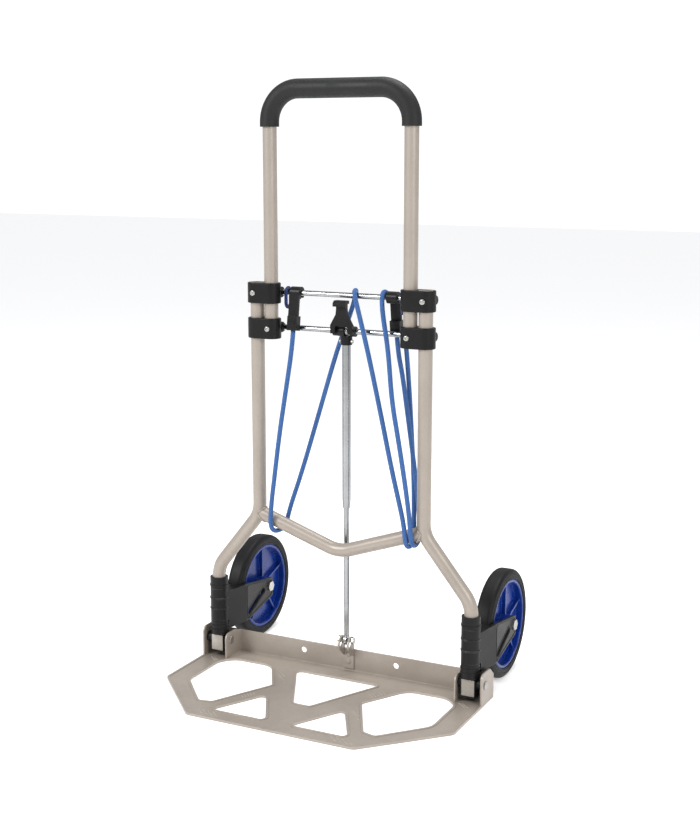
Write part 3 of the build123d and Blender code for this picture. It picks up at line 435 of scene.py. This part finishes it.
give(powder, "handle_tube", "cross_tube", "toe_plate", *pair("side_tube"), "rod_bracket",
     "bracket_rivet_upper", "bracket_rivet_lower")
give(black, *pair("upper_clamp"), *pair("lower_clamp"), *pair("upper_collar"), *pair("lower_collar"),
     *pair("cord_hook"), *pair("hinge_bush"), *pair("lower_bar_collar"), "latch_body", "latch_lever",
     *pair("upper_bar_nut"), *pair("lower_bar_nut"))
give(gripping, "handle_grip")
give(bright, "upper_crossbar", "lower_crossbar", "lift_rod", "rod_tube")
give(zinc, *pair("upper_clamp_screw"), *pair("lower_clamp_screw"), *pair("axle"), *pair("axle_nut"),
     *pair("hinge_pin"), "latch_rivets", "latch_spring", "rod_bolt", "rod_nut")
give(cast, *pair("foot_block"))
give(blue, *pair("wheel_hub"))
give(tread, *pair("tyre"))
print(len(bpy.data.materials), "materials")

# %% [markdown]
# ### Grained fork arms
# Each fork is smooth on its slanted panel and coarsely grained and greyer on the two arms beside the
# wheel. One material does both: a mask on the object's Y position changes over at the arms' front.

# %% Fork finish
def arm_material():
    # The pale corner colour on the arms is a painted highlight along their edges.
    material = finish_material("grained nylon arm", (0.0045, 0.0042, 0.0045), (0.008, 0.0075, 0.0078),
                               (0.10, 0.098, 0.096), (0.34, 0.46), (1300.0, 0.00005), corner=0.001, wear_and_highlight=0.9,
                               specular_ior_level=0.22)
    tree = material.node_tree
    shader = tree.nodes["Principled BSDF"]
    coordinates = tree.nodes.new("ShaderNodeTexCoord")
    split = tree.nodes.new("ShaderNodeSeparateXYZ")
    tree.links.new(coordinates.outputs["Object"], split.inputs[0])
    on_arm = remap(tree, split.outputs["Y"], 0.0505, 0.0515, 0.0, 1.0)
    smooth_base = shader.inputs["Base Color"].links[0].from_socket
    coarse = noise(tree, coordinates.outputs["Object"], 620.0, 2.0)
    speckled = mix_colour(tree, remap(tree, coarse, 0.35, 0.65, 0.0, 1.0), (0.016, 0.0155, 0.0145),
                          (0.042, 0.040, 0.038))
    tree.links.new(mix_colour(tree, on_arm, smooth_base, speckled), shader.inputs["Base Color"])
    rough_bump = tree.nodes.new("ShaderNodeBump")
    rough_bump.inputs["Distance"].default_value = 0.0003
    tree.links.new(math_node(tree, "MULTIPLY", coarse, on_arm), rough_bump.inputs["Height"])
    tree.links.new(shader.inputs["Normal"].links[0].from_socket, rough_bump.inputs["Normal"])
    tree.links.new(rough_bump.outputs[0], shader.inputs["Normal"])
    return material


give(arm_material(), *pair("wheel_fork"))

# %% [markdown]
# ### Woven sleeve
# A braid is two sets of yarns that cross on the slant. On the cord's UV map, U counts turns and V is metres, so
# `turns * U + rate * V` is constant along a yarn. Two sine ridges of opposite slant, multiplied, give the
# diamond lumps, and the same pattern paints shade into the gaps between the yarns and a highlight onto the
# lumps.

# %% Braid finish
def braid_material(name, light, dark, yarns=10, pitch=900.0):
    material = bpy.data.materials.new(name)
    material.use_nodes = True
    tree = material.node_tree
    shader = tree.nodes["Principled BSDF"]
    coordinates = tree.nodes.new("ShaderNodeTexCoord")
    split = tree.nodes.new("ShaderNodeSeparateXYZ")
    tree.links.new(coordinates.outputs["UV"], split.inputs[0])
    ridges = []
    for slant in (1.0, -1.0):
        round_part = math_node(tree, "MULTIPLY", split.outputs["X"], yarns * 2 * pi)
        along_part = math_node(tree, "MULTIPLY", split.outputs["Y"], slant * pitch * 2)
        wave = math_node(tree, "SINE", math_node(tree, "ADD", round_part, along_part), 0.0)
        ridges.append(math_node(tree, "ABSOLUTE", wave, 0.0))
    lumps = math_node(tree, "MULTIPLY", ridges[0], ridges[1])
    fuzz = noise(tree, coordinates.outputs["Object"], 1500.0, 3.0)
    height = math_node(tree, "ADD", lumps, math_node(tree, "MULTIPLY", fuzz, 0.35))
    gap_shade_crown_highlight = remap(tree, height, 0.12, 0.75, 0.0, 1.0)
    # dark is painted shade in the gaps between the yarns, light a painted highlight on their crowns.
    tree.links.new(mix_colour(tree, gap_shade_crown_highlight, dark, light), shader.inputs["Base Color"])
    tree.links.new(remap(tree, fuzz, 0.3, 0.7, 0.5, 0.72), shader.inputs["Roughness"])
    weave = tree.nodes.new("ShaderNodeBump")
    weave.inputs["Distance"].default_value = 0.0005
    tree.links.new(height, weave.inputs["Height"])
    tree.links.new(weave.outputs[0], shader.inputs["Normal"])
    shader.inputs["Sheen Weight"].default_value = 0.12
    shader.inputs["Sheen Roughness"].default_value = 0.4
    return material


# The first colour is the painted highlight on the yarns, the second the painted shade in their gaps.
braid = braid_material("blue woven sleeve", (0.05, 0.18, 0.50), (0.008, 0.05, 0.21))
# The keeper loops are a darker blue cord, with the same painted highlight and shade in their weave.
dark_braid = braid_material("dark blue sleeve", (0.01, 0.045, 0.24), (0.002, 0.01, 0.08), yarns=8)
elastic.data.materials.append(braid)
for word in SIDES:
    bpy.data.objects[f"keeper_loop_{word}"].data.materials.append(dark_braid)
print("braided finishes made")

# %% [markdown]
# ## Floor and light
# A pale floor and three large soft lamps give the even light of a catalogue picture: a key from the
# left front, a fill from the right, and a top light that draws highlights along the tubes. The floor
# glows a little, and the world looks brighter to the camera than it shines, so both come out white.

# %% Floor, world and lamps
def soft_lamp(name, place, aim, size, power):
    data = bpy.data.lights.new(name, "AREA")
    data.shape = "DISK"
    data.size = size
    data.energy = power
    lamp = bpy.data.objects.new(name, data)
    lamp.location = place
    lamp.rotation_euler = (Vector(aim) - Vector(place)).to_track_quat("-Z", "Y").to_euler()
    bpy.context.scene.collection.objects.link(lamp)


def pale_floor():
    mesh = bmesh.new()
    bmesh.ops.create_grid(mesh, x_segments=2, y_segments=2, size=12.0)
    data = bpy.data.meshes.new("floor")
    mesh.to_mesh(data)
    mesh.free()
    floor = bpy.data.objects.new("floor", data)
    floor.location.z = -0.0005
    bpy.context.scene.collection.objects.link(floor)
    paper = bpy.data.materials.new("pale paper")
    paper.use_nodes = True
    shader = paper.node_tree.nodes["Principled BSDF"]
    shader.inputs["Base Color"].default_value = (0.86, 0.86, 0.86, 1)
    shader.inputs["Roughness"].default_value = 0.8
    shader.inputs["Emission Color"].default_value = (1, 1, 1, 1)
    shader.inputs["Emission Strength"].default_value = 0.42
    data.materials.append(paper)


pale_floor()
WORLD_LIGHT, WORLD_SEEN = 0.6, 1.1      # the world's strength as a light, and as the camera sees it
world = bpy.data.worlds.new("studio")
world.use_nodes = True
sky = world.node_tree
background = sky.nodes["Background"]
background.inputs["Color"].default_value = (0.97, 0.98, 1.0, 1)
seen = sky.nodes.new("ShaderNodeLightPath")
brightness = remap(sky, seen.outputs["Is Camera Ray"], 0.0, 1.0, WORLD_LIGHT, WORLD_SEEN)
sky.links.new(brightness, background.inputs["Strength"])
bpy.context.scene.world = world
bpy.context.scene.view_settings.view_transform = "Standard"
soft_lamp("key", (-1.5, -2.3, 2.2), (0, 0, 0.45), 1.1, 62)
soft_lamp("fill", (2.4, -1.2, 1.5), (0, 0, 0.4), 1.2, 24)
soft_lamp("top", (0.2, 0.6, 2.8), (0, 0, 0.4), 1.5, 42)
print("stage is set")

# %% [markdown]
# ## Tread ridges on the toe plate
# The pressed plate has patches of fine slanting ridges that stop a load from sliding. Each patch is a
# row of equal ridges a few millimetres apart, so it suits Geometry Nodes: a Mesh Line gives the
# places, one small ridge is instanced on it, and Realize Instances turns them into a real mesh.

# %% Ridge tree
def socket_id(tree, label):
    """The identifier of a modifier input, which is what a modifier's value is set by."""
    return next(item.identifier for item in tree.interface.items_tree
                if item.name == label and item.in_out == "INPUT")


def repeat_tree(name):
    """Copies of an object along a straight line, all turned alike."""
    tree = bpy.data.node_groups.new(name, "GeometryNodeTree")
    face = tree.interface
    for label, kind, default in (
        ("Count", "NodeSocketInt", 10), ("Start", "NodeSocketVector", (0, 0, 0)),
        ("Step", "NodeSocketVector", (0.003, 0, 0)), ("Turn", "NodeSocketVector", (0, 0, 0)),
    ):
        face.new_socket(label, in_out="INPUT", socket_type=kind).default_value = default
    face.new_socket("Piece", in_out="INPUT", socket_type="NodeSocketObject")
    face.new_socket("Finish", in_out="INPUT", socket_type="NodeSocketMaterial")
    face.new_socket("Geometry", in_out="OUTPUT", socket_type="NodeSocketGeometry")
    given = tree.nodes.new("NodeGroupInput")
    out = tree.nodes.new("NodeGroupOutput")
    line = tree.nodes.new("GeometryNodeMeshLine")
    line.mode = "OFFSET"
    piece = tree.nodes.new("GeometryNodeObjectInfo")
    placed = tree.nodes.new("GeometryNodeInstanceOnPoints")
    realized = tree.nodes.new("GeometryNodeRealizeInstances")
    painted = tree.nodes.new("GeometryNodeSetMaterial")
    link = tree.links.new
    link(given.outputs["Count"], line.inputs["Count"])
    link(given.outputs["Start"], line.inputs["Start Location"])
    link(given.outputs["Step"], line.inputs["Offset"])
    link(given.outputs["Piece"], piece.inputs["Object"])
    link(line.outputs[0], placed.inputs["Points"])
    link(piece.outputs["Geometry"], placed.inputs["Instance"])
    link(given.outputs["Turn"], placed.inputs["Rotation"])
    link(placed.outputs[0], realized.inputs[0])
    link(realized.outputs[0], painted.inputs["Geometry"])
    link(given.outputs["Finish"], painted.inputs["Material"])
    link(painted.outputs[0], out.inputs[0])
    return tree


row_tree = repeat_tree("Row of copies")
print("tree:", row_tree.name, "with", len(row_tree.nodes), "nodes")


# %% Run a tree and keep its mesh
def repeated(piece, finish, count, start, step, turn):
    """The plain mesh of one run of the row tree."""
    holder = bpy.data.objects.new("row", bpy.data.meshes.new("row"))
    bpy.context.scene.collection.objects.link(holder)
    modifier = holder.modifiers.new("row", "NODES")
    modifier.node_group = row_tree
    values = {"Count": count, "Start": start, "Step": step, "Turn": turn, "Piece": piece, "Finish": finish}
    for label, value in values.items():
        modifier[socket_id(row_tree, label)] = value
    graph = bpy.context.evaluated_depsgraph_get()
    mesh = bpy.data.meshes.new_from_object(holder.evaluated_get(graph))
    bpy.data.objects.remove(holder)
    return mesh


def merged(name, meshes, finish, body):
    """One object from several meshes, riding on one body."""
    joined = bmesh.new()
    for mesh in meshes:
        joined.from_mesh(mesh)
        bpy.data.meshes.remove(mesh)
    bmesh.ops.recalc_face_normals(joined, faces=joined.faces)
    data = bpy.data.meshes.new(name)
    joined.to_mesh(data)
    joined.free()
    data.materials.clear()
    data.materials.append(finish)
    piece = bpy.data.objects.new(name, data)
    bpy.context.scene.collection.objects.link(piece)
    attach(piece, body)
    print(name, "has", len(data.polygons), "faces")
    return piece


# %% Ridges
PLATE_TOP = 2.5 * MM
RIDGE_W = 1.9 * MM
RIDGE_H = 1.0 * MM
RIDGE_PITCH = 5.0 * MM
RIDGE_ANGLE = radians(140)


def ridge(length):
    """A low bar with sloping sides and pointed ends, lying along X with its foot in the plate."""
    half, low, high = length / 2, RIDGE_W / 2, RIDGE_W / 5
    mesh = bmesh.new()
    foot = [mesh.verts.new((x * half, y * low, -0.2 * MM)) for x, y in ((-1, -1), (1, -1), (1, 1), (-1, 1))]
    crown = [mesh.verts.new((x * (half - low), y * high, RIDGE_H))
             for x, y in ((-1, -1), (1, -1), (1, 1), (-1, 1))]
    mesh.faces.new(crown)
    mesh.faces.new(foot[::-1])
    for k in range(4):
        mesh.faces.new((foot[k], foot[(k + 1) % 4], crown[(k + 1) % 4], crown[k]))
    data = bpy.data.meshes.new("ridge")
    mesh.to_mesh(data)
    mesh.free()
    return bpy.data.objects.new("ridge", data)


def ridge_patch(start, end, width):
    """Parallel ridges along a strip from start to end, each as long as the strip is wide on that slant."""
    run = Vector(end) - Vector(start)
    lean = abs(sin(RIDGE_ANGLE - atan2(run.y, run.x)))
    count = max(2, int(run.length * lean / RIDGE_PITCH))
    bar = ridge(width / lean)
    step = run / count
    first = (start[0], start[1], PLATE_TOP)
    return repeated(bar, ridge_highlight_paint, count, first, (step.x, step.y, 0), (0, 0, RIDGE_ANGLE))


patches = []
for side in SIDES.values():
    strips = (
        ((92, -31), (79, -58), 14),        # the rib beside the middle opening, near the flange
        ((90, -124), (102, -147), 9),      # the rib between the side and the front opening
        ((128, -221), (92, -221), 11),     # the front band's outer end
        ((222, -22), (234, -22), 12),      # beside the hinge
    )
    for start, end, width in strips:
        a = (side * start[0] * MM, start[1] * MM, 0)
        b = (side * end[0] * MM, end[1] * MM, 0)
        patches.append(ridge_patch(a, b, width * MM))
merged("plate_tread_ridges", patches, ridge_highlight_paint, "toe_plate")

# %% [markdown]
# ## Weld beads
# The cross tube is welded to the side tubes. Its end is coped, so the seam is the curve where two
# cylinders meet: a point on the cross tube's surface whose distance from the side tube's axis is that
# tube's radius. A thin rippled tube along that curve is the bead.

# %% Weld beads
TUBE_R = 11.0 * MM
FRAME_X = 146.0 * MM
CROSS_END_X, CROSS_END_Z = 144.0 * MM, 262.0 * MM
CROSS_DIP_Z = 213.0 * MM                    # the cross tube's lowest point, at the middle
BEAD_R, BEAD_SIDES = 1.7 * MM, 10
BEAD_RIPPLE = 0.12
cross_slope = (CROSS_END_Z - CROSS_DIP_Z) / CROSS_END_X


def weld_line(side, count=72):
    """Points on the seam between the cross tube and a side tube."""
    along = Vector((side, 0, cross_slope)).normalized()
    upward = Vector((-side * cross_slope, 0, 1)).normalized()
    centre = Vector((side * CROSS_END_X, 0, CROSS_END_Z))
    points = []
    for step in range(count):
        angle = 2 * pi * step / count
        skin = centre + Vector((0, 1, 0)) * TUBE_R * cos(angle) + upward * TUBE_R * sin(angle)
        reach = sqrt(max(TUBE_R ** 2 - skin.y ** 2, 0.0))
        wanted_x = side * (FRAME_X - reach)
        points.append(skin + along * ((wanted_x - skin.x) / along.x))
    return points


for word, side in SIDES.items():
    seam = weld_line(side)
    bead = tube_mesh(f"weld_bead_{word}", seam, BEAD_R, sides=BEAD_SIDES, closed=True)
    for k, vertex in enumerate(bead.data.vertices):
        ring = k // BEAD_SIDES
        vertex.co = seam[ring] + (vertex.co - seam[ring]) * (1.0 + BEAD_RIPPLE * cos(ring * pi))
    bead.data.materials.append(powder)
    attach(bead, "frame")
print("weld beads on both sides")

# %% [markdown]
# ## Moulded rims on the fork arms
# Each arm has a raised rim round its outline and round its slanting slot, which catches the light.
# The rim is a thin strip along the outline, half sunk in the arm's face.

# %% Rims
WHEEL_TUBE_X = 227.0 * MM
ARM_FACE = 22.5 * MM
RIM_RISE, RIM_FOOT = 0.7 * MM, 0.3 * MM     # above and below the arm's face


def strip_along(points, x, rise, width):
    """A closed band of the given width along points in a YZ plane, raised by rise along X."""
    mesh = bmesh.new()
    count = len(points)
    foot = -RIM_FOOT if rise > 0 else RIM_FOOT
    rows = []
    for k, (y, z) in enumerate(points):
        before, after = points[k - 1], points[(k + 1) % count]
        run = Vector((after[0] - before[0], after[1] - before[1])).normalized()
        out = Vector((run.y, -run.x)) * width / 2
        rows.append([mesh.verts.new((x + lift, y + out.x * s, z + out.y * s))
                     for s, lift in ((-1, foot), (-0.6, rise), (0.6, rise), (1, foot))])
    for k in range(count):
        first, second = rows[k], rows[(k + 1) % count]
        for j in range(4):
            mesh.faces.new((first[j], first[(j + 1) % 4], second[(j + 1) % 4], second[j]))
    bmesh.ops.recalc_face_normals(mesh, faces=mesh.faces)
    data = bpy.data.meshes.new("rim")
    mesh.to_mesh(data)
    mesh.free()
    return data


def rounded_outline(corners, radius, steps=6):
    """A closed outline in millimetres with each corner replaced by a small curve, in metres."""
    outline = []
    count = len(corners)
    for k, corner in enumerate(corners):
        here = Vector(corner)
        toward = (Vector(corners[k - 1]) - here).normalized() * radius
        away = (Vector(corners[(k + 1) % count]) - here).normalized() * radius
        for step in range(steps + 1):
            t = step / steps
            spot = here + toward * (1 - t) ** 2 + away * t ** 2
            outline.append((spot.x * MM, spot.y * MM))
    return outline


def slot_outline(start, end, width, steps=8):
    (y0, z0), (y1, z1) = start, end
    heading = atan2(z1 - z0, y1 - y0)
    outline = []
    for (y, z), base in (((y1, z1), -pi / 2), ((y0, z0), pi / 2)):
        for step in range(steps + 1):
            angle = heading + base + pi * step / steps
            outline.append(((y + width / 2 * cos(angle)) * MM, (z + width / 2 * sin(angle)) * MM))
    return outline


arm_outline = rounded_outline([(53.5, 53.5), (60, 53.5), (138.2, 72.5), (138.2, 99.5), (53.5, 111.6)], 6.0)
slot_rim = slot_outline((60.2, 63.1), (107.8, 86.9), 12.6)
for word, side in SIDES.items():
    bands = [strip_along(line, side * WHEEL_TUBE_X + face * ARM_FACE, face * RIM_RISE, width)
             for face in (-1, 1) for line, width in ((arm_outline, 2.4 * MM), (slot_rim, 2.0 * MM))]
    merged(f"fork_arm_rims_{word}", bands, black, f"wheel_fork_{word}")

# %% [markdown]
# ## Tyre and hub rings
# The tyre's sidewall carries two raised rings, and the hub's lip stands a little proud of the web. A
# ring is a profile turned about the axle: here a small half-round, closed by its flat foot.

# %% Rings
AXLE = Vector((0, 131 * MM, 89 * MM))
SIDEWALL_X, HUB_LIP_X = 13.9 * MM, 12.4 * MM    # from the wheel's middle plane
SIDEWALL_RINGS = (75.4 * MM, 80.5 * MM)


def ring_mesh(x, radius, thickness, rise, steps=96, arc=7):
    """A half-round bead of the given radius about the axle, standing out along X."""
    mesh = bmesh.new()
    rows = []
    for k in range(steps):
        angle = 2 * pi * k / steps
        row = []
        for j in range(arc):
            turn = pi * j / (arc - 1)
            r = radius + thickness / 2 * cos(turn)
            row.append(mesh.verts.new((x + rise * sin(turn), AXLE.y + r * cos(angle), AXLE.z + r * sin(angle))))
        rows.append(row)
    for k in range(steps):
        first, second = rows[k], rows[(k + 1) % steps]
        for j in range(arc):
            face = mesh.faces.new((first[j], first[(j + 1) % arc], second[(j + 1) % arc], second[j]))
            face.smooth = True
    bmesh.ops.recalc_face_normals(mesh, faces=mesh.faces)
    data = bpy.data.meshes.new("ring")
    mesh.to_mesh(data)
    mesh.free()
    return data


for word, side in SIDES.items():
    x = side * WHEEL_TUBE_X
    rubber = [ring_mesh(x + face * SIDEWALL_X, radius, 1.6 * MM, face * 0.7 * MM)
              for face in (-1, 1) for radius in SIDEWALL_RINGS]
    merged(f"tyre_rings_{word}", rubber, tread, f"wheel_{word}")
    lips = [ring_mesh(x + face * HUB_LIP_X, 70.2 * MM, 4.6 * MM, face * 1.1 * MM) for face in (-1, 1)]
    merged(f"hub_lips_{word}", lips, blue, f"wheel_{word}")

# %% [markdown]
# ## Grip lines
# The block at the foot of each cord hook has shallow lines to hold it by. They repeat along a line, so
# the same Geometry Nodes row that laid the ridges makes them.

# %% Grip lines on the cord hooks
def grip_bar(width, depth, height):
    mesh = bmesh.new()
    bmesh.ops.create_cube(mesh, size=1.0)
    for vertex in mesh.verts:
        taper = 0.55 if vertex.co.y > 0 else 1.0
        vertex.co = (vertex.co.x * width, vertex.co.y * depth, vertex.co.z * height * taper)
    data = bpy.data.meshes.new("grip")
    mesh.to_mesh(data)
    mesh.free()
    return bpy.data.objects.new("grip", data)


GRIP_LINES, GRIP_PITCH = 6, 2.6 * MM
for word, x, way in (("left", LEFT_HOOK_X, -1), ("right", RIGHT_HOOK_X, 1)):
    along = Vector((0, cos(HOOK_TILT), sin(HOOK_TILT) * way))
    up = Vector((0, -sin(HOOK_TILT) * way, cos(HOOK_TILT)))
    first = BAR + along * way * 12.1 * MM - up * 42 * MM
    bar = grip_bar(11 * MM, 1.0 * MM, 1.3 * MM)
    step = -up * GRIP_PITCH
    half_turn = pi if way < 0 else 0.0
    turn = (HOOK_TILT * way + half_turn, 0, 0)
    lines = repeated(bar, black, GRIP_LINES, (x, first.y, first.z), tuple(step), turn)
    merged(f"hook_grip_lines_{word}", [lines], black, "frame")
